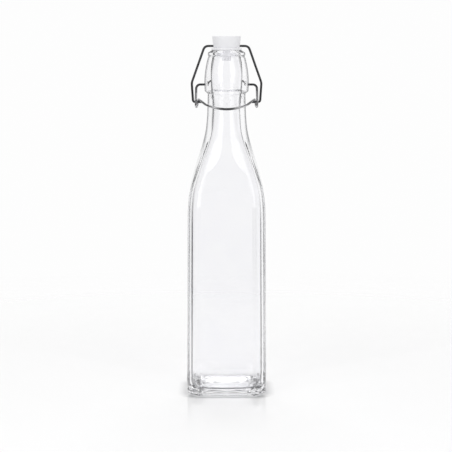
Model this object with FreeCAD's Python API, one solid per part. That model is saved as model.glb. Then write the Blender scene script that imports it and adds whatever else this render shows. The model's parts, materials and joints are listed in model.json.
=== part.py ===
import FreeCAD, Part
import math
import os
from FreeCAD import Vector

# Swing top bottle: square glass body, wire bail, locking lever, stopper and gasket.
# Millimetres, +Z up, origin at the middle of the base. The lever's thumb bow is in front, at -Y.

# Glass body
BASE_HALF_WIDTH = 34.4
CORNER_LEG = 8.0
CORNER_EDGE_RADIUS = 8.0
INNER_EDGE_RADIUS = 6.5
HEEL_RADIUS = 3.6
WALL = 4.2
FLOOR_Z = 6.0
FLOOR_EDGE_RADIUS = 6.0
PUSH_UP_RADIUS = 25.5
PUSH_UP_DEPTH = 2.2

# Shoulder stations: height, half width across the flats, wall
SHOULDER = [
    (151.5, 33.6, WALL),
    (164.5, 33.3, WALL),
    (177.5, 32.1, WALL),
    (190.5, 29.1, WALL),
    (202.5, 25.6, WALL),
    (215.5, 21.4, 4.3),
    (228.5, 18.2, 4.6),
    (241.5, 16.9, 4.9),
]
BODY_TOP_Z, BODY_TOP_HALF_WIDTH, BODY_TOP_WALL = SHOULDER[0]
NECK_FOOT_Z, NECK_FOOT_RADIUS, NECK_FOOT_WALL = SHOULDER[-1]

# Neck, collar and lip
NECK_RADIUS = 16.4
COLLAR_FOOT_Z = 260.1
COLLAR_CHAMFER = 2.1
COLLAR_FOOT_RADIUS = 19.05
COLLAR_RADIUS = 19.35
COLLAR_WAIST_Z = 269.0
COLLAR_TOP_Z = 291.1
COLLAR_TOP_RADIUS = 16.3
GROOVE_Z = 292.2
GROOVE_RADIUS = 15.5
LIP_RADIUS = 16.3
LIP_EDGE_Z = 293.5
LIP_EDGE_HEIGHT = 1.9
LIP_TOP_Z = 297.7
LIP_TOP_RADIUS = 12.9
MOUTH_RADIUS = 11.0
MOUTH_FLARE = 0.8
MOUTH_FOOT_Z = 292.5

# Bore between the shoulder and the mouth: radius, height
BORE = [(11.7, 251.5), (13.2, 263.0), (14.4, 275.5), (12.9, 285.5)]

# Wire closure
WIRE_RADIUS = 1.0
PIVOT_Z = 268.0
DIMPLE_RADIUS = 1.3
DIMPLE_FLOOR_X = 16.8
LEVER_PIN_TIP_X = 17.1
LEVER_ARM_X = 26.2
LEVER_BEND = 3.6
EYE_X = 26.6
EYE_Y = 0.8
EYE_Z = 252.8
EYE_HALF_WIDTH = 2.5
EYE_RISE = 2.2
EYE_DROP = 4.2
EYE_BEND = 2.2
EYE_PITCH = 0.9
BOW_SIDE = Vector(17.0, -25.5, 250.9)
BOW_FRONT = Vector(0, -33.0, 246.3)
BOW_ROOT_BEND = 5.0
BOW_SIDE_BEND = 13.0
BOW_FRONT_BEND = 24.0
BAIL_PIN_TIP_X = 20.4
BAIL_FOOT_X = 29.1
BAIL_KNEE = Vector(30.2, 0, 269.5)
BAIL_KNEE_BEND = 8.5
BAIL_FOOT_BEND = 2.0
CROSSBAR_Z = 301.2
CROSSBAR_END_X = 18.9
CROSSBAR_BEND = 4.5
CROSSBAR_CLEARANCE = 0.1

# Stopper and gasket
HEAD_BOTTOM_Z = 299.4
HEAD_TOP_Z = 309.6
HEAD_BOTTOM_RADIUS = 11.3
HEAD_TOP_RADIUS = 12.45
HEAD_EDGE = 0.7
DISH_RADIUS = 10.0
DISH_DEPTH = 0.6
STEM_RADIUS = 4.4
STEM_TIP_RADIUS = 3.75
STEM_TIP_Z = 288.4
STEM_BARB_RADIUS = 5.2
STEM_BARB_HEIGHT = 1.6
GASKET_RADIUS = 13.2
GASKET_BOTTOM_Z = 297.85
GASKET_RIM_ROUNDING = 0.6
PLUG_RADIUS = 9.75
PLUG_TIP_RADIUS = 8.5
PLUG_TIP_Z = 293.5
SEAT_CLEARANCE = 0.05

ORIGIN = Vector(0, 0, 0)
X_AXIS = Vector(1, 0, 0)
Z_AXIS = Vector(0, 0, 1)
EIGHTH_TURN = math.radians(45)


def polar(radius, angle, z):
    return Vector(radius * math.cos(angle), radius * math.sin(angle), z)


def line(start, end):
    return Part.LineSegment(start, end).toShape()


def arc(start, middle, end):
    return Part.Arc(start, middle, end).toShape()


def octagon_section(half_width, corner_reach, edge_radius, z):
    """Square with cut corners: flats at half_width, corner facets at corner_reach, rounded edges."""
    roundings = []
    for side in range(8):
        reach, next_reach = (half_width, corner_reach) if side % 2 == 0 else (corner_reach, half_width)
        along = (next_reach - reach * math.cos(EIGHTH_TURN)) / math.sin(EIGHTH_TURN)
        start, middle, end = (side * EIGHTH_TURN + step * EIGHTH_TURN / 2 for step in range(3))
        corner = polar(reach, start, z) + polar(along, start + math.pi / 2, 0)
        centre = corner - polar(edge_radius / math.cos(EIGHTH_TURN / 2), middle, 0)
        roundings.append([centre + polar(edge_radius, angle, 0) for angle in (start, middle, end)])
    edges = []
    for side in range(8):
        edges.append(line(roundings[side - 1][2], roundings[side][0]))
        edges.append(arc(*roundings[side]))
    return Part.Wire(edges)


def round_section(radius, z):
    """Circle cut into as many edges as an octagon section, so that a loft can join the two."""
    half_side = math.radians(8)
    edges = []
    for side in range(8):
        angle = side * EIGHTH_TURN
        stops = [angle - half_side, angle + half_side, angle + EIGHTH_TURN - half_side]
        for first, last in zip(stops, stops[1:]):
            edges.append(arc(*(polar(radius, step, z) for step in (first, (first + last) / 2, last))))
    return Part.Wire(edges)


def glass_section(half_width, z, inset=0):
    """Outer section of the bottle at one height, or its inner one when inset by the wall."""
    roundness = (BODY_TOP_HALF_WIDTH - half_width) / (BODY_TOP_HALF_WIDTH - NECK_FOOT_RADIUS)
    roundness = max(roundness, 0)
    if roundness == 1:
        return round_section(half_width - inset, z)
    square_reach = (2 * half_width - CORNER_LEG) / math.sqrt(2)
    corner_reach = square_reach + (half_width - square_reach) * roundness
    edge_radius = INNER_EDGE_RADIUS if inset else CORNER_EDGE_RADIUS
    edge_radius += (0.9 * (half_width - inset) - edge_radius) * roundness
    return octagon_section(half_width - inset, corner_reach - inset, edge_radius, z)


def tapered_prism(lower, upper, foot_radius):
    """Body between two sections, with the edge round its foot rounded."""
    prism = Part.makeLoft([lower, upper], True, True)
    foot_z = prism.BoundBox.ZMin
    foot_edges = [edge for edge in prism.Edges if edge.BoundBox.ZMax - foot_z < 0.01]
    return prism.makeFillet(foot_radius, foot_edges)


def turned(edges):
    """Solid of revolution about Z from a closed outline in the XZ plane."""
    return Part.Face(Part.Wire(edges)).revolve(ORIGIN, Z_AXIS, 360)


def profile(points):
    """Straight edges through (radius, height) points."""
    corners = [Vector(radius, 0, z) for radius, z in points]
    return [line(start, end) for start, end in zip(corners, corners[1:])]


def glass_outside():
    base = glass_section(BASE_HALF_WIDTH, 0)
    body_top = glass_section(BODY_TOP_HALF_WIDTH, BODY_TOP_Z)
    body = tapered_prism(base, body_top, HEEL_RADIUS)
    shoulder = Part.makeLoft([glass_section(width, z) for z, width, wall in SHOULDER], True)
    collar_foot = (COLLAR_FOOT_RADIUS, COLLAR_FOOT_Z + COLLAR_CHAMFER)
    edges = profile([
        (0, NECK_FOOT_Z),
        (NECK_FOOT_RADIUS, NECK_FOOT_Z),
        (NECK_RADIUS, COLLAR_FOOT_Z),
        collar_foot,
    ])
    edges.append(arc(
        Vector(collar_foot[0], 0, collar_foot[1]),
        Vector(COLLAR_RADIUS, 0, COLLAR_WAIST_Z),
        Vector(COLLAR_TOP_RADIUS, 0, COLLAR_TOP_Z),
    ))
    edges += profile([
        (COLLAR_TOP_RADIUS, COLLAR_TOP_Z),
        (GROOVE_RADIUS, GROOVE_Z),
        (LIP_RADIUS, LIP_EDGE_Z),
        (LIP_RADIUS, LIP_EDGE_Z + LIP_EDGE_HEIGHT),
        (LIP_TOP_RADIUS, LIP_TOP_Z),
        (0, LIP_TOP_Z),
        (0, NECK_FOOT_Z),
    ])
    return body.fuse([shoulder, turned(edges)])


def glass_inside():
    floor = glass_section(BASE_HALF_WIDTH, FLOOR_Z, WALL)
    body_top = glass_section(BODY_TOP_HALF_WIDTH, BODY_TOP_Z, BODY_TOP_WALL)
    body = tapered_prism(floor, body_top, FLOOR_EDGE_RADIUS)
    shoulder = Part.makeLoft([glass_section(width, z, wall) for z, width, wall in SHOULDER], True)
    foot = Vector(NECK_FOOT_RADIUS - NECK_FOOT_WALL, 0, NECK_FOOT_Z)
    mouth_foot = Vector(MOUTH_RADIUS, 0, MOUTH_FOOT_Z)
    bore = Part.BSplineCurve()
    stops = [foot] + [Vector(radius, 0, z) for radius, z in BORE] + [mouth_foot]
    bore.interpolate(Points=stops, InitialTangent=Vector(-0.1, 0, 1), FinalTangent=Z_AXIS)
    edges = profile([(0, NECK_FOOT_Z), (foot.x, NECK_FOOT_Z)])
    edges.append(bore.toShape())
    edges += profile([
        (MOUTH_RADIUS, MOUTH_FOOT_Z),
        (MOUTH_RADIUS, LIP_TOP_Z - MOUTH_FLARE),
        (MOUTH_RADIUS + 2 * MOUTH_FLARE, LIP_TOP_Z + MOUTH_FLARE),
        (0, LIP_TOP_Z + MOUTH_FLARE),
        (0, NECK_FOOT_Z),
    ])
    return body.fuse([shoulder, turned(edges)])


def glass_bottle():
    bottle = glass_outside().cut(glass_inside())
    dome_radius = (PUSH_UP_RADIUS ** 2 + PUSH_UP_DEPTH ** 2) / (2 * PUSH_UP_DEPTH)
    push_up = Part.makeSphere(dome_radius, Vector(0, 0, PUSH_UP_DEPTH - dome_radius))
    dimple_reach = 2 * (COLLAR_RADIUS - DIMPLE_FLOOR_X)
    dimples = []
    for side in (-1, 1):
        dimple_floor = Vector(side * DIMPLE_FLOOR_X, 0, PIVOT_Z)
        dimples.append(Part.makeCylinder(DIMPLE_RADIUS, dimple_reach, dimple_floor, X_AXIS * side))
    return bottle.cut([push_up] + dimples).removeSplitter()


def bent_path(points, bends):
    """Straight runs joined by tangent arcs, one bend radius for each inner point."""
    edges = []
    start = points[0]
    for before, corner, after, bend in zip(points, points[1:], points[2:], bends):
        back = (before - corner).normalize()
        ahead = (after - corner).normalize()
        half_angle = back.getAngle(ahead) / 2
        setback = bend / math.tan(half_angle)
        crown = corner + (back + ahead).normalize() * (bend / math.sin(half_angle) - bend)
        arc_start = corner + back * setback
        arc_end = corner + ahead * setback
        edges.append(line(start, arc_start))
        edges.append(arc(arc_start, crown, arc_end))
        start = arc_end
    edges.append(line(start, points[-1]))
    return Part.Wire(edges)


def mirrored(points):
    return [Vector(-point.x, point.y, point.z) for point in reversed(points)]


def formed_wire(points, bends):
    """Round wire bent along the points."""
    path = bent_path(points, bends)
    section = Part.Wire(Part.makeCircle(WIRE_RADIUS, points[0], points[1] - points[0]))
    sweep = Part.BRepOffsetAPI.MakePipeShell(path)
    sweep.add(section)
    sweep.build()
    sweep.makeSolid()
    wire = sweep.shape()
    straight_volume = math.pi * WIRE_RADIUS ** 2 * path.Length
    print(f"wire {path.Length:.1f} mm long, volume {wire.Volume:.1f} of {straight_volume:.1f} straight")
    return wire


def bail_wire():
    half = [
        Vector(BAIL_PIN_TIP_X, EYE_Y, EYE_Z),
        Vector(BAIL_FOOT_X, EYE_Y, EYE_Z),
        BAIL_KNEE,
        Vector(CROSSBAR_END_X, 0, CROSSBAR_Z),
    ]
    bends = [BAIL_FOOT_BEND, BAIL_KNEE_BEND, CROSSBAR_BEND]
    return formed_wire(half + mirrored(half), bends + bends[::-1])


def lever_wire():
    front, rear = EYE_Y - EYE_HALF_WIDTH, EYE_Y + EYE_HALF_WIDTH
    low, high = EYE_Z - EYE_DROP, EYE_Z + EYE_RISE
    half = [
        Vector(LEVER_PIN_TIP_X, 0, PIVOT_Z),
        Vector(LEVER_ARM_X, 0, PIVOT_Z),
        Vector(EYE_X, front, high),
        Vector(EYE_X, front, low),
        Vector(EYE_X - EYE_PITCH, rear, low),
        Vector(EYE_X - 2 * EYE_PITCH, rear, high),
        Vector(EYE_X - 3 * EYE_PITCH, front, high),
        BOW_SIDE,
    ]
    bends = [LEVER_BEND, LEVER_BEND, EYE_BEND, EYE_BEND, EYE_BEND, BOW_ROOT_BEND, BOW_SIDE_BEND]
    return formed_wire(half + [BOW_FRONT] + mirrored(half), bends + [BOW_FRONT_BEND] + bends[::-1])


def stopper():
    barb_z = PLUG_TIP_Z - SEAT_CLEARANCE
    dish_middle_z = HEAD_TOP_Z - DISH_DEPTH
    edges = profile([
        (DISH_RADIUS, HEAD_TOP_Z),
        (HEAD_TOP_RADIUS - HEAD_EDGE, HEAD_TOP_Z),
        (HEAD_TOP_RADIUS, HEAD_TOP_Z - HEAD_EDGE),
        (HEAD_BOTTOM_RADIUS, HEAD_BOTTOM_Z),
        (STEM_RADIUS, HEAD_BOTTOM_Z),
        (STEM_RADIUS, barb_z),
        (STEM_BARB_RADIUS, barb_z),
        (STEM_RADIUS, barb_z - STEM_BARB_HEIGHT),
        (STEM_TIP_RADIUS, STEM_TIP_Z),
        (0, STEM_TIP_Z),
        (0, dish_middle_z),
    ])
    rim, middle = Vector(DISH_RADIUS, 0, HEAD_TOP_Z), Vector(0, 0, dish_middle_z)
    between = Vector(DISH_RADIUS / 2, 0, HEAD_TOP_Z - 0.75 * DISH_DEPTH)
    edges.append(arc(middle, between, rim))
    hole_radius = WIRE_RADIUS + CROSSBAR_CLEARANCE
    hole = Part.makeCylinder(hole_radius, 2 * GASKET_RADIUS, Vector(-GASKET_RADIUS, 0, CROSSBAR_Z), X_AXIS)
    return turned(edges).cut(hole)


def gasket():
    hole_radius = STEM_RADIUS + SEAT_CLEARANCE
    flange_top_z = HEAD_BOTTOM_Z - SEAT_CLEARANCE
    ring = turned(profile([
        (hole_radius, flange_top_z),
        (GASKET_RADIUS, flange_top_z),
        (GASKET_RADIUS, GASKET_BOTTOM_Z),
        (PLUG_RADIUS, GASKET_BOTTOM_Z),
        (PLUG_TIP_RADIUS, PLUG_TIP_Z),
        (hole_radius, PLUG_TIP_Z),
        (hole_radius, flange_top_z),
    ]))
    rims = [edge for edge in ring.Edges if edge.Curve.TypeId == "Part::GeomCircle"]
    flange_rims = [rim for rim in rims if rim.Curve.Radius == GASKET_RADIUS]
    return ring.makeFillet(GASKET_RIM_ROUNDING, flange_rims)


PIECES = [glass_bottle, stopper, gasket, bail_wire, lever_wire]

os.makedirs("parts", exist_ok=True)
for piece in PIECES:
    shape = piece()
    print(f"{piece.__name__}: valid {shape.isValid()}, {len(shape.Solids)} solid, {shape.Volume:.1f} mm3")
    shape.exportStep(f"parts/{piece.__name__}.step")
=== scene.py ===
# %% [markdown]
# # A swing top bottle
# A square bottle of clear glass is closed by two bent wires. The lower wire is a lever that turns in
# two dimples of the glass collar. The upper wire, the bail, hangs in the lever's eyes and carries a
# white stopper with a soft gasket. The measured model of these five pieces is loaded first. It fixes
# every size and every pivot, and the pieces that are modelled below take its place and move with it.

# %% Load the measured bottle
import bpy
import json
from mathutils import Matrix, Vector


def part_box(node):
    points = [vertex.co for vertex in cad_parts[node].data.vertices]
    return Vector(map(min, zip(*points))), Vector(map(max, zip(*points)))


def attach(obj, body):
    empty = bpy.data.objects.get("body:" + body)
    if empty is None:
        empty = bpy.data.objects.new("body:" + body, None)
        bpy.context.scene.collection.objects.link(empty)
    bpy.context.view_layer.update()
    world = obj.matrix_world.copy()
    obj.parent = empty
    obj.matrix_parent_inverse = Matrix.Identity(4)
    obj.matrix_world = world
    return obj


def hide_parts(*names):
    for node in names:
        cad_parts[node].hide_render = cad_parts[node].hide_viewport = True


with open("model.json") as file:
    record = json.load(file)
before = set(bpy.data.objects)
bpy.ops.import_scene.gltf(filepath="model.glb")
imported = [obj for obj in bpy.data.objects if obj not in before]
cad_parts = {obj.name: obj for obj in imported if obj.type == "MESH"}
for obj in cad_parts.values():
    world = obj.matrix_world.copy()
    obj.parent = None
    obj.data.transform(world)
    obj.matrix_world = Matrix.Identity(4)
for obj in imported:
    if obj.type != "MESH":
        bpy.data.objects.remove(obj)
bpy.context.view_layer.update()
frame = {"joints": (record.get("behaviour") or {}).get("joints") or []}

# %% [markdown]
# ## Helpers for every piece
# Blender works in metres, and a bottle is easier to read in millimetres, so lengths are written as
# millimetres times MM. Every piece starts as a bmesh, which is a mesh that operators can change. The
# last helper turns a finished bmesh into an object, ties it to the measured body that it moves with,
# and hides the plain solid.

# %% Tools and a way to finish a piece
import json
import math

import bmesh
import bpy
from mathutils import Matrix, Vector
from mathutils.geometry import interpolate_bezier

MM = 0.001
scene = bpy.context.scene


def round_corners(bm, corners, offset, segments):
    """Round or cut some corners of a line of edges."""
    bmesh.ops.bevel(
        bm, geom=corners, offset=offset, offset_type="OFFSET", segments=segments, profile=0.5,
        affect="VERTICES", material=-1,
    )


def extruded(bm, edges):
    """Extrude a ring of edges, and give the new ring's vertices and edges."""
    made = bmesh.ops.extrude_edge_only(bm, edges=edges)["geom"]
    verts = [part for part in made if isinstance(part, bmesh.types.BMVert)]
    rim = [part for part in made if isinstance(part, bmesh.types.BMEdge) and part.is_boundary]
    return verts, rim


def finish_piece(bm, name, body, node):
    """Make an object of a bmesh. It rides on a body in place of a measured node."""
    bmesh.ops.recalc_face_normals(bm, faces=bm.faces[:])
    mesh = bpy.data.meshes.new(name)
    bm.to_mesh(mesh)
    bm.free()
    mesh.shade_smooth()
    piece = bpy.data.objects.new(name, mesh)
    scene.collection.objects.link(piece)
    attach(piece, body)
    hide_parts(node)
    print(f"{name}: {len(mesh.vertices)} vertices, {len(mesh.polygons)} faces")
    return piece


# %% [markdown]
# ## The section of the glass
# Seen from above, the body is a square whose corners are cut at 45 degrees and then rounded. It
# could be drawn from a list of points, but bevels say better what it is. A circle of four vertices
# is a square, one vertex bevel cuts its corners, and a second one rounds the eight edges. Each
# vertex then remembers how far it reaches compared with the half width, so that the same ring can
# later be made square, round or anything between.

# %% Draw the square section with cut corners
CORNER_LEG = 8.0 * MM
EDGE_RADIUS = 8.0 * MM
EDGE_STEPS = 8
FACET_STEPS = 3
FLAT_STEPS = 24
INNER_CORNER = 0.3
half_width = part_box("glass_bottle")[1].x


def round_square(direction, corner):
    """How far a square of half width 1 with round corners reaches in a direction."""
    across, along = sorted((abs(direction.x), abs(direction.y)))
    if across / along < 1 - corner:
        return 1 / along
    middle = (1 - corner) * (across + along)
    return middle + math.sqrt(middle ** 2 - 2 * (1 - corner) ** 2 + corner ** 2)


glass = bmesh.new()
reach = glass.verts.layers.float.new("reach")
inner_reach = glass.verts.layers.float.new("inner_reach")
square = bmesh.ops.create_circle(glass, segments=4, radius=half_width * math.sqrt(2))["verts"]
bmesh.ops.rotate(glass, verts=square, cent=(0, 0, 0), matrix=Matrix.Rotation(math.radians(45), 3, "Z"))
round_corners(glass, glass.verts[:], CORNER_LEG, 1)
round_corners(glass, glass.verts[:], EDGE_RADIUS * math.tan(math.radians(22.5)), EDGE_STEPS)
by_length = sorted(glass.edges, key=lambda edge: edge.calc_length())
facets, flats = by_length[-8:-4], by_length[-4:]
bmesh.ops.subdivide_edges(glass, edges=facets, cuts=FACET_STEPS - 1)
bmesh.ops.subdivide_edges(glass, edges=flats, cuts=FLAT_STEPS - 1)
for vert in glass.verts:
    vert[reach] = vert.co.length / half_width
    vert[inner_reach] = round_square(vert.co.normalized(), INNER_CORNER)
print(f"the glass section has {len(glass.verts)} vertices")

# %% [markdown]
# ## The outline of the glass
# Cut in half, the bottle is one long outline: up the outside from the pushed-up base to the lip,
# over the lip and down the bore to the floor. Each stop on it is a half width, a height and a
# squareness, 1 for the moulded square and 0 for a circle. Curved stretches are smooth curves through
# a few measured stops, and the small edges of the collar and the lip are drawn as straight lines and
# then rounded, as a flame softens them on the real glass.

# %% Draw smooth and softened lines
CURVE_STEPS = 8
SOFT_STEPS = 4
ROUND_STEPS = 8


def smooth_line(stops):
    """Points along a smooth curve through (width, height) stops."""
    knots = [Vector((width, 0, height)) for width, height in stops]
    ahead = [knots[1] - knots[0]]
    ahead += [(after - before) / 2 for before, after in zip(knots, knots[2:])]
    ahead.append(knots[-1] - knots[-2])
    points = []
    for index in range(len(knots) - 1):
        start, end = knots[index], knots[index + 1]
        leave, arrive = start + ahead[index] / 3, end - ahead[index + 1] / 3
        points += interpolate_bezier(start, leave, arrive, end, CURVE_STEPS)[:-1]
    points.append(knots[-1])
    return [(point.x, point.z) for point in points]


def soft_line(stops, rounding):
    """Points along straight lines through (width, height) stops, with rounded corners."""
    line = bmesh.new()
    corners = [line.verts.new((width, 0, height)) for width, height in stops]
    for start, end in zip(corners, corners[1:]):
        line.edges.new((start, end))
    round_corners(line, corners[1:-1], rounding, SOFT_STEPS)
    points = []
    place = next(vert for vert in line.verts if vert.co.xz == Vector(stops[0]))
    came_from = None
    while place is not None:
        points.append((place.co.x, place.co.z))
        onward = [edge for edge in place.link_edges if edge is not came_from]
        came_from = onward[0] if onward else None
        place = came_from.other_vert(place) if onward else None
    line.free()
    return points


def quarter_round(centre, radius, start):
    """Points on a quarter circle, from an angle in degrees and on against the clock."""
    turns = [start + 90 * step / ROUND_STEPS for step in range(ROUND_STEPS + 1)]
    angles = [math.radians(turn) for turn in turns]
    return [
        (centre[0] + radius * math.cos(angle), centre[1] + radius * math.sin(angle)) for angle in angles
    ]


def straight(start, end, rings):
    """Points between two stops, without the stops."""
    step = [(last - first) / rings for first, last in zip(start, end)]
    return [(start[0] + step[0] * ring, start[1] + step[1] * ring) for ring in range(1, rings)]


def in_metres(stops):
    """Stops that are measured in millimetres, as metres."""
    return [(width * MM, height * MM) for width, height in stops]


# %% [markdown]
# The outside starts with the shallow dome under the base and the rounded heel. The knurled ring
# between the two gets a stop of its own. The shoulder then narrows to the neck, the collar bulges
# like a barrel, and a groove sets off the lip.

# %% Measure the outside
PUSH_UP_RADIUS = 25.5 * MM
PUSH_UP_DEPTH = 2.2 * MM
DOME_RINGS = 9
KNURL_WIDTH = 28.8 * MM
HEEL_RADIUS = 3.6 * MM
WALL_RINGS = 12
NECK_RINGS = 4
EDGE_ROUNDING = 0.45 * MM
SHOULDER = [
    (33.6, 151.5), (33.3, 164.5), (32.1, 177.5), (29.1, 190.5), (25.6, 202.5), (21.4, 215.5),
    (18.2, 228.5), (16.9, 241.5),
]
COLLAR_FOOT = [(16.4, 257.5), (16.4, 260.1), (19.05, 262.2), (19.2, 264.5)]
COLLAR = [(19.2, 264.5), (19.35, 269), (19.16, 274.5), (18.6, 280), (17.65, 285.5), (16.6, 290)]
LIP = [
    (16.6, 290), (16.3, 291.1), (15.5, 292.2), (16.3, 293.5), (16.3, 295.4), (12.9, 297.7),
    (11.8, 297.7), (11.0, 296.9), (11.0, 292.5),
]

dome = [(PUSH_UP_RADIUS * ring / DOME_RINGS, PUSH_UP_DEPTH * (1 - (ring / DOME_RINGS) ** 2))
        for ring in range(1, DOME_RINGS + 1)]
heel = quarter_round((half_width - HEEL_RADIUS, HEEL_RADIUS), HEEL_RADIUS, 270)
shoulder = smooth_line(in_metres(SHOULDER))
collar_foot = soft_line(in_metres(COLLAR_FOOT), EDGE_ROUNDING)
collar = smooth_line(in_metres(COLLAR))
lip = soft_line(in_metres(LIP), EDGE_ROUNDING)
outer_wall = heel + straight(heel[-1], shoulder[0], WALL_RINGS) + shoulder
round_top = straight(shoulder[-1], collar_foot[0], NECK_RINGS) + collar_foot + collar[1:] + lip[1:]
print(f"the outside has {len(dome) + len(outer_wall) + len(round_top)} stops")

# %% [markdown]
# The inside follows the outside at the distance of the wall. A helper gives each stop its
# squareness: the section turns from a circle into the square as its width grows from the neck to the
# body.

# %% Measure the inside and join the stops
FLOOR_HEIGHT = 4.5 * MM
FLOOR_ROUNDING = 6.0 * MM
FLOOR_RINGS = 7
WALL = 3.7 * MM
BORE = [
    (29.9, 151.5), (29.6, 164.5), (28.4, 177.5), (25.4, 190.5), (21.8, 202.5), (17.3, 215.5),
    (13.6, 228.5), (12.0, 241.5), (11.7, 251.5), (13.2, 263), (14.4, 275.5), (12.9, 285.5),
    (11.0, 292.5),
]
BORE_SQUARE = 29.9 * MM
BORE_ROUND = 12.0 * MM


def squared(points, round_width, square_width):
    """Stops that go from round to square as the width grows."""
    shares = [(width - round_width) / (square_width - round_width) for width, height in points]
    return [(*point, min(max(share, 0), 1)) for point, share in zip(points, shares)]


bore = smooth_line(in_metres(BORE))[::-1]
inside = half_width - WALL
floor_centre = (inside - FLOOR_ROUNDING, FLOOR_HEIGHT + FLOOR_ROUNDING)
floor_edge = quarter_round(floor_centre, FLOOR_ROUNDING, 270)[::-1]
inner_wall = bore[1:] + straight(bore[-1], floor_edge[0], WALL_RINGS) + floor_edge
floor_rings = straight(floor_edge[-1], (0, FLOOR_HEIGHT), FLOOR_RINGS)

outer_stops = [(*point, 0) for point in dome] + [(KNURL_WIDTH, 0, 1)]
outer_stops += squared(outer_wall, shoulder[-1][0], shoulder[0][0])
outer_stops += [(*point, 0) for point in round_top]
inner_stops = squared(inner_wall, BORE_ROUND, BORE_SQUARE) + [(*point, 1) for point in floor_rings]
print(f"the outline has {len(outer_stops)} stops outside and {len(inner_stops)} inside")

# %% [markdown]
# ## The glass bottle
# A machine blows the real bottle in a mould. Here the section ring is extruded from stop to stop
# along the outline, and at each stop it takes the half width, height and squareness that the outline
# asks for. The result is one closed skin with a real wall between its outside and its inside, which
# glass needs, because light bends once on each of the two surfaces. Both ends of the skin close in a
# point on the axis.

# %% Extrude the section along the outline
def set_ring(ring, section, width, height, squareness):
    """Bring a ring of the glass to a half width and a height, as square as asked."""
    for vert in ring:
        outward = Vector((vert.co.x, vert.co.y, 0)).normalized()
        vert.co = outward * width * (1 + (vert[section] - 1) * squareness)
        vert.co.z = height


ring, rim = glass.verts[:], glass.edges[:]
set_ring(ring, reach, *outer_stops[0])
centre = extruded(glass, rim)[0]
bmesh.ops.pointmerge(glass, verts=centre, merge_co=(0, 0, PUSH_UP_DEPTH))
for stop in outer_stops[1:]:
    ring, rim = extruded(glass, rim)
    set_ring(ring, reach, *stop)
    if stop[0] == KNURL_WIDTH:
        knurled_ring = ring
for stop in inner_stops:
    ring, rim = extruded(glass, rim)
    set_ring(ring, inner_reach, *stop)
centre = extruded(glass, rim)[0]
bmesh.ops.pointmerge(glass, verts=centre, merge_co=(0, 0, FLOOR_HEIGHT))
print(f"the glass has {len(glass.faces)} faces")

# %% [markdown]
# ## Knurls and dimples
# The ring that the bottle stands on is knurled: a row of small teeth keeps the hot bottle off the
# belt. Every second vertex of that ring is lifted. The two dimples that hold the lever's ends are
# pressed into the collar. The mesh is too coarse for them, so the faces around each are subdivided
# first, and then pushed in with a soft rim.

# %% Lift every second tooth and press the two dimples
KNURL_DEPTH = 0.35 * MM
DIMPLE_RADIUS = 1.25 * MM
DIMPLE_RIM = 0.8 * MM
DIMPLE_FLOOR = 16.8 * MM
DIMPLE_CUTS = 5
lever_pivot = Vector(frame["joints"][0]["pos_m"])

knurled_ring.sort(key=lambda vert: math.atan2(vert.co.y, vert.co.x))
bmesh.ops.translate(glass, verts=knurled_ring[::2], vec=(0, 0, KNURL_DEPTH))


def from_pivot(point):
    """Distance of a point from the line that the lever turns on."""
    return math.hypot(point.y - lever_pivot.y, point.z - lever_pivot.z)


patch_radius = DIMPLE_RADIUS + 2 * DIMPLE_RIM
patch = [face for face in glass.faces if from_pivot(face.calc_center_median()) < patch_radius]
patch = [face for face in patch if abs(face.calc_center_median().x) > DIMPLE_FLOOR]
patch_edges = list(dict.fromkeys(edge for face in patch for edge in face.edges))
bmesh.ops.subdivide_edges(glass, edges=patch_edges, cuts=DIMPLE_CUTS, use_grid_fill=True)
for vert in glass.verts:
    depth = 1 - (from_pivot(vert.co) - DIMPLE_RADIUS) / DIMPLE_RIM
    depth = min(max(depth, 0), 1)
    if abs(vert.co.x) > DIMPLE_FLOOR:
        floor_x = math.copysign(DIMPLE_FLOOR, vert.co.x)
        vert.co.x += (floor_x - vert.co.x) * depth ** 2 * (3 - 2 * depth)

bottle_glass = finish_piece(glass, "bottle_glass", "bottle", "glass_bottle")

# %% [markdown]
# ## The stopper and its gasket
# Both are round, so each is an outline that is spun about the axis of the bottle. The outline is
# drawn as a line of edges, its corners are rounded by a vertex bevel, and the spin closes on itself.

# %% Spin the stopper and the gasket
SPIN_STEPS = 96
MERGE_DISTANCE = 0.001 * MM
CLEARANCE = 0.05 * MM
HEAD_ROUNDING = 0.35 * MM
STEM_RADIUS = 4.4 * MM
GASKET_ROUNDING = 0.5 * MM
GASKET_HOLE = 4.45 * MM
FLANGE_THICKNESS = 1.5 * MM


def spun(stops, rounding, closed=False):
    """Spin a softened outline of (radius, height) stops about the upright axis."""
    points = soft_line(stops, rounding)
    bm = bmesh.new()
    verts = [bm.verts.new((radius, 0, height)) for radius, height in points]
    pairs = list(zip(verts, verts[1:]))
    if closed:
        pairs.append((verts[-1], verts[0]))
    edges = [bm.edges.new(pair) for pair in pairs]
    bmesh.ops.spin(
        bm, geom=verts + edges, cent=(0, 0, 0), axis=(0, 0, 1), dvec=(0, 0, 0), angle=2 * math.pi,
        steps=SPIN_STEPS, use_merge=True,
    )
    bmesh.ops.remove_doubles(bm, verts=bm.verts[:], dist=MERGE_DISTANCE)
    return bm


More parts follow.
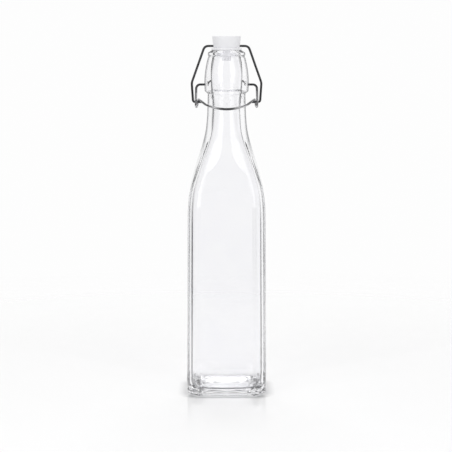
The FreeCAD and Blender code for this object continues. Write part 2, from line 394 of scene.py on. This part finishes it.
stopper_low, stopper_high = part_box("stopper")
gasket_low, gasket_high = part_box("gasket")
head_radius, head_top, stem_tip = stopper_high.x, stopper_high.z, stopper_low.z
head_bottom = gasket_high.z + CLEARANCE
barb_top = gasket_low.z - CLEARANCE
stopper_stops = [
    (0, head_top - 0.6 * MM),
    (9.4 * MM, head_top - 0.4 * MM),
    (10.2 * MM, head_top),
    (head_radius, head_top),
    (11.3 * MM, head_bottom),
    (STEM_RADIUS, head_bottom),
    (STEM_RADIUS, barb_top),
    (5.2 * MM, barb_top),
    (STEM_RADIUS, barb_top - 1.6 * MM),
    (3.75 * MM, stem_tip),
    (0, stem_tip),
]
stopper_bm = spun(stopper_stops, HEAD_ROUNDING)
stopper_head = finish_piece(stopper_bm, "stopper_head", "stopper_set", "stopper")

flange_bottom = gasket_high.z - FLANGE_THICKNESS
gasket_stops = [
    (GASKET_HOLE, gasket_high.z),
    (gasket_high.x, gasket_high.z),
    (gasket_high.x, flange_bottom),
    (9.75 * MM, flange_bottom),
    (8.5 * MM, gasket_low.z),
    (GASKET_HOLE, gasket_low.z),
]
gasket_bm = spun(gasket_stops, GASKET_ROUNDING, closed=True)
gasket_ring = finish_piece(gasket_bm, "gasket_ring", "stopper_set", "gasket")

# %% [markdown]
# The bail's crossbar runs through the head, so the head is drilled. The drill is a thin round bar: a
# Boolean modifier takes it away from the head, the result becomes the head's mesh, and the bar is
# deleted. The rim of the hole is marked sharp, because smooth shading would smear over it.

# %% Drill the head for the bail
HOLE_RADIUS = 1.1 * MM
HOLE_SIDES = 32
SHARP_ANGLE = math.radians(50)
crossbar = Vector(frame["joints"][2]["pos_m"])

drill_bm = bmesh.new()
bar = bmesh.ops.create_cone(
    drill_bm, cap_ends=True, segments=HOLE_SIDES, radius1=HOLE_RADIUS, radius2=HOLE_RADIUS,
    depth=4 * head_radius,
)["verts"]
lie_down = Matrix.Rotation(math.radians(90), 3, "Y")
bmesh.ops.rotate(drill_bm, verts=bar, cent=(0, 0, 0), matrix=lie_down)
bmesh.ops.translate(drill_bm, verts=bar, vec=crossbar)
drill_mesh = bpy.data.meshes.new("drill")
drill_bm.to_mesh(drill_mesh)
drill_bm.free()
drill = bpy.data.objects.new("drill", drill_mesh)
scene.collection.objects.link(drill)

hole = stopper_head.modifiers.new("hole", "BOOLEAN")
hole.operation = "DIFFERENCE"
hole.object = drill
evaluated = stopper_head.evaluated_get(bpy.context.evaluated_depsgraph_get())
drilled = bpy.data.meshes.new_from_object(evaluated)
stopper_head.modifiers.remove(hole)
bpy.data.objects.remove(drill)
drilled.name = "stopper_head_drilled"
drilled.set_sharp_from_angle(angle=SHARP_ANGLE)
stopper_head.data = drilled
print(f"the drilled head has {len(drilled.polygons)} faces")

# %% [markdown]
# ## The two wires
# Each wire is one length of drawn steel, straight between its bends. It is made here as a wire
# bender makes it: a round section is pushed forward along each run, and at each bend it is spun
# about the bend's centre. The vertices keep a note of where they are on the unrolled wire, so that
# the drawing marks of the finish can follow it.

# %% A wire bender
WIRE_RADIUS = 1.0 * MM
WIRE_SIDES = 20
BEND_STEP = math.radians(7.5)
END_BEVEL = 0.25 * MM
END_STEPS = 3


def bent_wire(corners, bends):
    """Round wire along the corners, with one bend radius for each inner corner."""
    wire = bmesh.new()
    grain = wire.verts.layers.float_vector.new("grain")
    # An empty layer for the painted highlight, which the lever fills later.
    wire.verts.layers.float.new("painted_highlight")
    ring = bmesh.ops.create_circle(wire, segments=WIRE_SIDES, radius=WIRE_RADIUS)["verts"]
    for vert in ring:
        vert[grain] = vert.co / WIRE_RADIUS
    facing = (corners[1] - corners[0]).to_track_quat("Z", "Y").to_matrix()
    bmesh.ops.rotate(wire, verts=ring, cent=(0, 0, 0), matrix=facing)
    bmesh.ops.translate(wire, verts=ring, vec=corners[0])
    first_rim = rim = wire.edges[:]
    place = corners[0]
    length = 0

    def mark(verts):
        for vert in verts:
            vert[grain].z = length / WIRE_RADIUS

    for before, corner, after, bend in zip(corners, corners[1:], corners[2:], bends):
        back, ahead = (before - corner).normalized(), (after - corner).normalized()
        half_angle = back.angle(ahead) / 2
        bend_start = corner + back * bend / math.tan(half_angle)
        bend_centre = corner + (back + ahead).normalized() * bend / math.sin(half_angle)
        ring, rim = extruded(wire, rim)
        bmesh.ops.translate(wire, verts=ring, vec=bend_start - place)
        length += (bend_start - place).length
        mark(ring)
        turn = math.pi - 2 * half_angle
        steps = math.ceil(turn / BEND_STEP)
        for step in range(steps):
            made = bmesh.ops.spin(
                wire, geom=ring + rim, cent=bend_centre, axis=ahead.cross(back), dvec=(0, 0, 0),
                angle=turn / steps, steps=1,
            )["geom_last"]
            ring = [part for part in made if isinstance(part, bmesh.types.BMVert)]
            rim = [part for part in made if isinstance(part, bmesh.types.BMEdge)]
            length += bend * turn / steps
            mark(ring)
        place = corner + ahead * bend / math.tan(half_angle)
    ring, rim = extruded(wire, rim)
    bmesh.ops.translate(wire, verts=ring, vec=corners[-1] - place)
    length += (corners[-1] - place).length
    mark(ring)
    for end in (first_rim, rim):
        bmesh.ops.contextual_create(wire, geom=end)
        bmesh.ops.bevel(
            wire, geom=end, offset=END_BEVEL, offset_type="OFFSET", segments=END_STEPS, profile=0.5,
            affect="EDGES", material=-1,
        )
    print(f"a wire of {length / MM:.1f} mm")
    return wire


def there_and_back(half):
    """The corners of one side, and the same on the other side in return."""
    return half + [Vector((-corner.x, corner.y, corner.z)) for corner in reversed(half)]


# %% [markdown]
# The bail runs through the stopper's head and down both sides, and its ends turn inwards as pins.
# The lever starts as a pin in the collar's dimple, goes down, wraps once round the bail's pin as a
# long eye and sweeps to the front as the bow that a thumb lifts.

# %% Bend the bail and the lever
bail_pivot = Vector(frame["joints"][1]["pos_m"])
bail_side = [
    Vector((20.4 * MM, bail_pivot.y, bail_pivot.z)),
    Vector((29.1 * MM, bail_pivot.y, bail_pivot.z)),
    Vector((30.2 * MM, 0, 269.5 * MM)),
    Vector((18.9 * MM, 0, crossbar.z)),
]
bail_bends = [2 * MM, 8.5 * MM, 4.5 * MM]
bail_bm = bent_wire(there_and_back(bail_side), bail_bends + bail_bends[::-1])
bail_steel = finish_piece(bail_bm, "bail_steel", "bail", "bail_wire")

EYE_HALF_WIDTH = 2.5 * MM
EYE_RISE = 2.2 * MM
EYE_DROP = 4.2 * MM
EYE_X = 26.6 * MM
EYE_PITCH = 0.9 * MM
BOW_BEND = 24 * MM
# How far the painted highlight reaches around each of its places.
HIGHLIGHT_SIZE = 9 * MM
eye_front, eye_rear = bail_pivot.y - EYE_HALF_WIDTH, bail_pivot.y + EYE_HALF_WIDTH
eye_low, eye_high = bail_pivot.z - EYE_DROP, bail_pivot.z + EYE_RISE
lever_side = [
    Vector((17.1 * MM, 0, lever_pivot.z)),
    Vector((26.2 * MM, 0, lever_pivot.z)),
    Vector((EYE_X, eye_front, eye_high)),
    Vector((EYE_X, eye_front, eye_low)),
    Vector((EYE_X - EYE_PITCH, eye_rear, eye_low)),
    Vector((EYE_X - 2 * EYE_PITCH, eye_rear, eye_high)),
    Vector((EYE_X - 3 * EYE_PITCH, eye_front, eye_high)),
    Vector((17 * MM, -25.5 * MM, 250.9 * MM)),
]
bow_front = Vector((0, -33 * MM, 246.3 * MM))
lever_bends = [3.6 * MM, 3.6 * MM, 2.2 * MM, 2.2 * MM, 2.2 * MM, 5 * MM, 13 * MM]
lever_corners = there_and_back(lever_side)
lever_corners.insert(len(lever_side), bow_front)
lever_bm = bent_wire(lever_corners, lever_bends + [BOW_BEND] + lever_bends[::-1])

# Painted highlight: a share of brighter steel around the eyes and the bow's flanks, where light glints.
painted_highlight = lever_bm.verts.layers.float["painted_highlight"]
highlight_places = [
    Vector((EYE_X - EYE_PITCH, bail_pivot.y, bail_pivot.z - 1 * MM)),
    Vector((13.5 * MM, -27.5 * MM, 249.5 * MM)),
]
for vert in lever_bm.verts:
    place = Vector((abs(vert.co.x), vert.co.y, vert.co.z))
    shares = [2 - 2 * (place - centre).length / HIGHLIGHT_SIZE for centre in highlight_places]
    vert[painted_highlight] = min(max(*shares, 0), 1)
lever_steel = finish_piece(lever_bm, "lever_steel", "lever", "lever_wire")

# %% [markdown]
# ## Materials
# A small set of helpers keeps the node code short. An input of a node takes either a plain value or
# the socket of another node, so one helper decides which of the two it was given, and the others use
# it: one feeds several inputs, one adds a node, one spreads a value from one range to another, one
# does sums, one mixes two colours and one makes noise.

# %% Helpers for nodes
def new_material(name):
    """A material with only a Principled shader and its output, and that shader."""
    material = bpy.data.materials.new(name)
    material.use_nodes = True
    return material, material.node_tree.nodes["Principled BSDF"]


def feed(tree, given, socket):
    """Join a socket to an input, or set the input to a plain value."""
    if isinstance(given, bpy.types.NodeSocket):
        tree.links.new(given, socket)
    else:
        socket.default_value = given


def feed_all(tree, inputs, node):
    """Join or set several inputs of a node."""
    for name, given in dict(inputs).items():
        feed(tree, given, node.inputs[name])


def add_node(tree, kind, inputs=(), **settings):
    """Add a node with its settings and what its inputs take."""
    node = tree.nodes.new(kind)
    for setting, value in settings.items():
        setattr(node, setting, value)
    feed_all(tree, inputs, node)
    return node


def spread(tree, value, start, end, low=0, high=1, smooth=False):
    """Go from low to high while a value goes from start to end."""
    kind = "SMOOTHSTEP" if smooth else "LINEAR"
    inputs = {"Value": value, "From Min": start, "From Max": end, "To Min": low, "To Max": high}
    return add_node(tree, "ShaderNodeMapRange", inputs, interpolation_type=kind).outputs["Result"]


def reckon(tree, operation, *given):
    """Do one sum with sockets or plain numbers."""
    return add_node(tree, "ShaderNodeMath", enumerate(given), operation=operation).outputs[0]


def mixed(tree, share, first, second):
    """Mix two colours by a share."""
    colours = {"Fac": share, "Color1": first, "Color2": second}
    return add_node(tree, "ShaderNodeMixRGB", colours).outputs["Color"]


def noise(tree, place, scale, detail, roughness=0.5):
    """Cloudy values between 0 and 1."""
    inputs = {"Vector": place, "Scale": scale, "Detail": detail, "Roughness": roughness}
    return add_node(tree, "ShaderNodeTexNoise", inputs).outputs["Fac"]


def position(tree):
    """The place of a point in its piece, whole and as X, Y and Z."""
    place = add_node(tree, "ShaderNodeTexCoord").outputs["Object"]
    return place, add_node(tree, "ShaderNodeSeparateXYZ", {0: place}).outputs


# %% [markdown]
# ### One group for uneven surfaces
# No real surface is perfectly even, so one node group is built once and used by every finish. It
# takes a position, a scale, two colours and two roughnesses, and gives back a colour, a roughness
# and a height that wander over the surface between them.

# %% Build the group
CLOUD_DETAIL = 4
CLOUD_ROUGHNESS = 0.6
CLOUD_RANGE = (0.3, 0.7)

uneven = bpy.data.node_groups.new("uneven_surface", "ShaderNodeTree")
for name, kind in [("Vector", "Vector"), ("Scale", "Float"), ("Color 1", "Color"), ("Color 2", "Color"),
                   ("Roughness 1", "Float"), ("Roughness 2", "Float")]:
    uneven.interface.new_socket(name, in_out="INPUT", socket_type=f"NodeSocket{kind}")
for name, kind in [("Color", "Color"), ("Roughness", "Float"), ("Height", "Float")]:
    uneven.interface.new_socket(name, in_out="OUTPUT", socket_type=f"NodeSocket{kind}")
asked = add_node(uneven, "NodeGroupInput").outputs
clouds = noise(uneven, asked["Vector"], asked["Scale"], CLOUD_DETAIL, CLOUD_ROUGHNESS)
wander = spread(uneven, clouds, *CLOUD_RANGE)
add_node(uneven, "NodeGroupOutput", {
    "Color": mixed(uneven, wander, asked["Color 1"], asked["Color 2"]),
    "Roughness": spread(uneven, wander, 0, 1, asked["Roughness 1"], asked["Roughness 2"]),
    "Height": clouds,
})
print(f"the group uneven_surface has {len(uneven.nodes)} nodes")

# %% [markdown]
# ### Clear glass
# Bottle glass is smooth and almost colourless, so the Principled shader gets full transmission and
# no roughness, and the thickness of the wall gets a trace of grey from a volume shader. The mould
# and the cooling leave slow waves in the surface, and short ripples at the corners of the base,
# where the glass is thickest. Both could be modelled, but that would need a far denser mesh, so they
# are a bump.

# %% Transparent and slightly wavy
GLASS_IOR = 1.5
CLEAREST = (0.995, 0.995, 1.0, 1)
LEAST_CLEAR = (0.975, 0.975, 0.99, 1)
WALL_GREY = (0.5, 0.505, 0.53, 1)
GREY_DENSITY = 2
WAVE_SCALE = 40
WAVE_SHARE = 0.015
RIPPLE_SCALE = 200
RIPPLE_DEPTH = 1.6 * MM
RIPPLE_TOP = 16.0 * MM
RIPPLE_SIDE = 16.0 * MM
RIPPLE_FADE = 8.0 * MM

glass_look, shader = new_material("clear_glass")
tree = glass_look.node_tree
clear = {"Transmission Weight": 1, "IOR": GLASS_IOR, "Metallic": 0, "Roughness": 0}
feed_all(tree, clear, shader)
place, axes = position(tree)
waves = add_node(tree, "ShaderNodeGroup", {
    "Vector": place, "Scale": WAVE_SCALE, "Color 1": CLEAREST, "Color 2": LEAST_CLEAR,
}, node_tree=uneven)
ripples = noise(tree, place, RIPPLE_SCALE, 1)
across = [reckon(tree, "ABSOLUTE", axes[axis]) for axis in "XY"]
from_middle = reckon(tree, "MINIMUM", *across)
low = spread(tree, axes["Z"], RIPPLE_TOP - RIPPLE_FADE, RIPPLE_TOP, 1, 0)
at_corner = spread(tree, from_middle, RIPPLE_SIDE, RIPPLE_SIDE + RIPPLE_FADE, 0, low)
wave_height = reckon(tree, "MULTIPLY", waves.outputs["Height"], WAVE_SHARE)
height = reckon(tree, "MULTIPLY_ADD", ripples, at_corner, wave_height)
bump = add_node(tree, "ShaderNodeBump", {"Height": height, "Strength": 1, "Distance": RIPPLE_DEPTH})
feed(tree, bump.outputs["Normal"], shader.inputs["Normal"])
grey = add_node(tree, "ShaderNodeVolumeAbsorption", {"Color": WALL_GREY, "Density": GREY_DENSITY})
feed(tree, grey.outputs["Volume"], tree.nodes["Material Output"].inputs["Volume"])
bottle_glass.data.materials.append(glass_look)
print("clear_glass lets light through and bends it")

# %% [markdown]
# ### Painted shade on the edges of the glass
# A thick wall looks dark where the eye looks along it, because the light that enters there is led
# away inside the glass. Here that shade is painted into the glass's base colour: a near black is
# mixed in where the surface is turned away. Layer Weight tells how far a surface is turned away, both
# where the ray comes from the air and where it leaves the glass, which Backfacing tells apart. The
# neck is round and the body is flat, so their limits differ, and the shoulder and the base get little
# of it. At the base's corners, where the ripples are, dark specks from a fine noise are painted in
# the same way. Only the first two surfaces of a ray count, which Light Path tells, because the glass
# would swallow all light otherwise.

# %% Paint shade on the glass where it turns away
# Painted shade: the near black that the turned-away edges and the corner specks are mixed towards.
PAINTED_EDGE_SHADE = (0.03, 0.03, 0.034, 1)
FAINT = 0.25
SHADE_SPECK_SCALE = 450
SHADE_SPECK_LIMITS = (0.57, 0.6)
BASE_FADE = (8 * MM, 20 * MM)
SHOULDER_FADE = (150 * MM, 178 * MM)
BODY_TOP = 180 * MM
NECK_FOOT = 205 * MM
NECK_FADE = (NECK_FOOT, 220 * MM)
BODY_FROM_AIR = (0.9, 0.99)
NECK_FROM_AIR = (0.5, 0.75)
BODY_FROM_GLASS = (0.15, 0.18)
NECK_FROM_GLASS = (0.18, 0.24)


def turned_away(body_limits, neck_limits):
    """Mask for painted shade: what is turned away, between limits that change from the body to the
    neck.
    """
    pairs = zip(body_limits, neck_limits)
    limits = [spread(tree, axes["Z"], BODY_TOP, NECK_FOOT, *pair) for pair in pairs]
    return spread(tree, facing, *limits, smooth=True)


facing = add_node(tree, "ShaderNodeLayerWeight", {"Blend": 0.5}).outputs["Facing"]
backfacing = add_node(tree, "ShaderNodeNewGeometry").outputs["Backfacing"]
from_air = turned_away(BODY_FROM_AIR, NECK_FROM_AIR)
from_glass = turned_away(BODY_FROM_GLASS, NECK_FROM_GLASS)
edge = spread(tree, backfacing, 0, 1, from_air, from_glass)

above_base = spread(tree, axes["Z"], *BASE_FADE, FAINT, 1)
below_shoulder = spread(tree, axes["Z"], *SHOULDER_FADE, 1, FAINT)
above_shoulder = spread(tree, axes["Z"], *NECK_FADE, FAINT, 1)
off_shoulder = reckon(tree, "MAXIMUM", below_shoulder, above_shoulder)
strength = reckon(tree, "MINIMUM", above_base, off_shoulder)

path = add_node(tree, "ShaderNodeLightPath").outputs
bounces = reckon(tree, "MULTIPLY_ADD", path["Diffuse Depth"], 2, path["Ray Depth"])
# Painted shade specks: a fine noise marks dark specks at the base's corners.
facets = noise(tree, place, SHADE_SPECK_SCALE, 1)
painted_specks = spread(tree, facets, *SHADE_SPECK_LIMITS, 0, at_corner)
# The painted shade mixes a near black into the glass's base colour.
painted_shade = reckon(tree, "MAXIMUM", reckon(tree, "MULTIPLY", edge, strength), painted_specks)
share = spread(tree, bounces, 1, 2, painted_shade, 0)
feed(tree, mixed(tree, share, waves.outputs["Color"], PAINTED_EDGE_SHADE), shader.inputs["Base Color"])
print(f"clear_glass has {len(tree.nodes)} nodes")

# %% [markdown]
# ### White plastic and soft silicone
# The stopper is moulded in white plastic with a fine satin skin. Its gasket is a milky silicone, a
# little lighter and smoother. Both are an uneven surface with two close colours, so one function
# makes them, and the wire too.

# %% Moulded plastic and silicone
SKIN_DEPTH = 0.2 * MM
SKIN_STRENGTH = 0.1


def solid_look(name, pieces, scale, colours, roughness):
    """An uneven finish with two colours and two roughnesses, given to some pieces."""
    material, shader = new_material(name)
    tree = material.node_tree
    surface = add_node(tree, "ShaderNodeGroup", {
        "Vector": add_node(tree, "ShaderNodeTexCoord").outputs["Object"], "Scale": scale,
        "Color 1": (*colours[0], 1), "Color 2": (*colours[1], 1),
        "Roughness 1": roughness[0], "Roughness 2": roughness[1],
    }, node_tree=uneven)
    bump = add_node(tree, "ShaderNodeBump", {
        "Height": surface.outputs["Height"], "Strength": SKIN_STRENGTH, "Distance": SKIN_DEPTH,
    })
    feed(tree, surface.outputs["Color"], shader.inputs["Base Color"])
    feed(tree, surface.outputs["Roughness"], shader.inputs["Roughness"])
    feed(tree, bump.outputs["Normal"], shader.inputs["Normal"])
    for piece in pieces:
        piece.data.materials.append(material)
    print(f"{name} on {len(pieces)} pieces")
    return tree, shader, surface


WHITES = [(0.83, 0.83, 0.85), (0.8, 0.8, 0.82)]
MILKY_WHITES = [(0.92, 0.92, 0.94), (0.88, 0.88, 0.9)]
solid_look("white_plastic", [stopper_head], 300, WHITES, [0.4, 0.5])
solid_look("milky_silicone", [gasket_ring], 400, MILKY_WHITES, [0.35, 0.5])

# %% [markdown]
# ### Drawn steel
# Wire is pulled through a die, which leaves a dark film and fine marks along its length. The noise
# is therefore read on the unrolled wire and stretched along it. In the eyes and on the flanks of the
# bow the steel is painted brighter: a painted highlight that stands in for the glints of the lamps.

# %% Dark wire with painted highlights
STRETCH = (1, 1, 0.03)
HIGHLIGHT_STEEL = (0.5, 0.5, 0.51, 1)
DARK_FILM = [(0.05, 0.05, 0.052), (0.16, 0.16, 0.165)]
wires = [bail_steel, lever_steel]
tree, shader, surface = solid_look("drawn_steel", wires, 3, DARK_FILM, [0.2, 0.4])
shader.inputs["Metallic"].default_value = 1
unrolled = add_node(tree, "ShaderNodeAttribute", attribute_name="grain").outputs["Vector"]
stretched = add_node(tree, "ShaderNodeVectorMath", {0: unrolled, 1: STRETCH}, operation="MULTIPLY")
feed(tree, stretched.outputs["Vector"], surface.inputs["Vector"])
# The painted highlight mixes brighter steel into the dark film.
painted_highlight = add_node(tree, "ShaderNodeAttribute", attribute_name="painted_highlight").outputs["Fac"]
steel_color = mixed(tree, painted_highlight, surface.outputs["Color"], HIGHLIGHT_STEEL)
feed(tree, steel_color, shader.inputs["Base Color"])
print(f"drawn_steel has {len(tree.nodes)} nodes")

# %% [markdown]
# ## The studio floor
# The bottle stands on a white glossy sheet. The sheet is one disc that fades out before its edge, so
# that no horizon shows. Its gloss is a coat that fades away from the bottle, so that only the bottle
# is mirrored in it.

# %% A white glossy disc
FLOOR_RADIUS = 1.0
FLOOR_SIDES = 96
FLOOR_DROP = 0.15 * MM
FLOOR_FADE = (0.15, 0.75)
COAT_FADE = (0.04, 0.2)
COAT_WEIGHT = 0.8

floor_bm = bmesh.new()
bmesh.ops.create_circle(floor_bm, cap_ends=True, segments=FLOOR_SIDES, radius=FLOOR_RADIUS)
bmesh.ops.translate(floor_bm, verts=floor_bm.verts[:], vec=(0, 0, -FLOOR_DROP))
floor_mesh = bpy.data.meshes.new("studio_floor")
floor_bm.to_mesh(floor_mesh)
floor_bm.free()
floor = bpy.data.objects.new("studio_floor", floor_mesh)
scene.collection.objects.link(floor)

floor_look, shader = new_material("studio_floor")
tree = floor_look.node_tree
feed_all(tree, {"Specular IOR Level": 0, "Coat IOR": 1.4, "Coat Roughness": 0.01}, shader)
place, axes = position(tree)
distance = add_node(tree, "ShaderNodeVectorMath", {0: place}, operation="LENGTH").outputs["Value"]
feed_all(tree, {
    "Alpha": spread(tree, distance, *FLOOR_FADE, 1, 0, smooth=True),
    "Coat Weight": spread(tree, distance, *COAT_FADE, COAT_WEIGHT, 0, smooth=True),
}, shader)
floor_mesh.materials.append(floor_look)
print("studio_floor fades out before its edge")

# %% [markdown]
# Soft light from all around reaches under the bottle through the glass, so its contact shadow would
# be lost. The floor gets it back: Ambient Occlusion darkens a narrow border outside the footprint,
# most of all in front, and a ring under the knurl that the bottle stands on. The footprint is the
# square with its corners cut, measured with the same numbers.

# %% The contact shadow
FLOOR_WHITE = (0.925, 0.925, 0.925, 1)
SHADOW_REACH = 9 * MM
SHADOW_START = half_width - 2 * MM
FRONT_POWER = 2.5
FRONT_DEPTH = 5 * MM
SHADOW_COLOR = (0.25, 0.25, 0.26, 1)
RING_INNER = half_width - 8 * MM
RING_OUTER = half_width - 3 * MM
RING_FADE = 1 * MM

across = [reckon(tree, "ABSOLUTE", axes[axis]) for axis in "XY"]
corner_scale = half_width / (2 * half_width - CORNER_LEG)
to_corner = reckon(tree, "MULTIPLY", reckon(tree, "ADD", *across), corner_scale)
out_from_axis = reckon(tree, "MAXIMUM", reckon(tree, "MAXIMUM", *across), to_corner)
nearness = add_node(tree, "ShaderNodeAmbientOcclusion", {"Distance": SHADOW_REACH}).outputs["AO"]
front_power = spread(tree, axes["Y"], -half_width, FRONT_DEPTH - half_width, FRONT_POWER, 1)
nearness = reckon(tree, "POWER", nearness, front_power)
lit = spread(tree, out_from_axis, SHADOW_START, half_width, 1, nearness)
inside_ring = spread(tree, out_from_axis, RING_OUTER - RING_FADE, RING_OUTER, 1, 0)
in_ring = spread(tree, out_from_axis, RING_INNER, RING_INNER + RING_FADE, 0, inside_ring)
around = mixed(tree, lit, SHADOW_COLOR, FLOOR_WHITE)
feed(tree, mixed(tree, in_ring, around, SHADOW_COLOR), shader.inputs["Base Color"])
print(f"studio_floor has {len(tree.nodes)} nodes")

# %% [markdown]
# ## The studio around the bottle
# Glass has no look of its own and shows only what is around it. A white room makes it clear, and
# what is dark in the room draws its edges, so photographers put black cards beside a bottle. Here
# the world is that room: white walls, a dark ceiling to the left and right, one black card at the
# left for light that was mirrored inside the glass, and a dark front for what mirrors the camera's
# side. Light Path tells these rays apart. Rays that light a dull surface meet an even soft light
# instead, at a level at which a colour looks as it is written.

# %% A white room with a dark card
AMBIENT = 0.72
WHITE = 0.985
CEILING = 0.08
CEILING_HEIGHT = (0.3, 0.55)
CEILING_SIDES = (0.15, 0.45)
CARD = 0.05
CARD_EDGE = (-0.75, -0.95)
FRONT = 0.05
FRONT_EDGE = (-0.75, -0.35)

world = bpy.data.worlds.new("studio")
scene.world = world
world.use_nodes = True
tree = world.node_tree
tree.nodes.clear()
path = add_node(tree, "ShaderNodeLightPath").outputs
direction = add_node(tree, "ShaderNodeTexCoord").outputs["Generated"]
axes = add_node(tree, "ShaderNodeSeparateXYZ", {0: direction}).outputs
sideways = reckon(tree, "ABSOLUTE", axes["X"])
ceiling = spread(tree, sideways, *CEILING_SIDES, WHITE, CEILING)
room = spread(tree, axes["Z"], *CEILING_HEIGHT, WHITE, ceiling)
card = spread(tree, axes["X"], *CARD_EDGE, room, CARD)
room = spread(tree, path["Glossy Depth"], 0, 1, room, card)
mirrored = reckon(tree, "GREATER_THAN", path["Is Glossy Ray"], path["Is Transmission Ray"])
front = spread(tree, axes["Y"], *FRONT_EDGE, FRONT, 1)
mirrored_twice = spread(tree, path["Glossy Depth"], 1, 2)
sees_front = reckon(tree, "MAXIMUM", mirrored, mirrored_twice)
shown = reckon(tree, "MULTIPLY", room, spread(tree, sees_front, 0, 1, 1, front))
strength = spread(tree, path["Diffuse Depth"], 0, 1, shown, AMBIENT)
backdrop = add_node(tree, "ShaderNodeBackground", {"Color": (1, 1, 1, 1), "Strength": strength})
add_node(tree, "ShaderNodeOutputWorld", {"Surface": backdrop.outputs["Background"]})
print(f"the studio world has {len(tree.nodes)} nodes")

# %% [markdown]
# Two tall softboxes stand at the front left and the front right. They give the soft white streaks on
# the shoulder. A third one, above and behind, lights the top of the stopper and keeps the floor even.
# Light is mirrored many times inside a thick wall before it comes out, so the glass needs many more
# bounces than Blender allows at first, and no blur of what it mirrors.

# %% Softboxes
AIM = Vector((0, 0, 150 * MM))
SIDE_BOX = (0.75, 1.5)
TOP_BOX = (1.0, 1.0)
GLASS_BOUNCES = 48


def softbox(name, place, size, power):
    """A flat lamp that faces the middle of the bottle."""
    lamp = bpy.data.lights.new(name, "AREA")
    lamp.shape = "RECTANGLE"
    lamp.size, lamp.size_y = size
    lamp.energy = power
    holder = bpy.data.objects.new(name, lamp)
    holder.location = place
    holder.rotation_euler = (AIM - Vector(place)).to_track_quat("-Z", "Y").to_euler()
    scene.collection.objects.link(holder)


softbox("key_light", (-0.8, -1.2, 0.9), SIDE_BOX, power=6.0)
softbox("fill_light", (0.8, -1.2, 0.9), SIDE_BOX, power=5.2)
softbox("top_light", (0, 0.9, 1.5), TOP_BOX, power=6.0)
scene.cycles.max_bounces = GLASS_BOUNCES
scene.cycles.transmission_bounces = GLASS_BOUNCES
scene.cycles.glossy_bounces = GLASS_BOUNCES
scene.cycles.blur_glossy = 0
print("three softboxes")

# %% [markdown]
# ## The camera
# The photograph looks at the middle of the bottle from a little above, through a long lens, which
# keeps the upright edges almost parallel.

# %% Camera
CAMERA_PLACE = (-0.5 * MM, -1400 * MM, 306.5 * MM)
CAMERA_TILT = math.radians(6.6)
LENS = 128.2
camera = bpy.data.cameras.new("photo_camera")
camera.lens = LENS
camera_holder = bpy.data.objects.new("photo_camera", camera)
camera_holder.location = CAMERA_PLACE
camera_holder.rotation_euler = (math.pi / 2 - CAMERA_TILT, 0, 0)
scene.collection.objects.link(camera_holder)
scene.camera = camera_holder
scene.view_settings.view_transform = "Standard"
print(f"a lens of {camera.lens:.1f} mm")
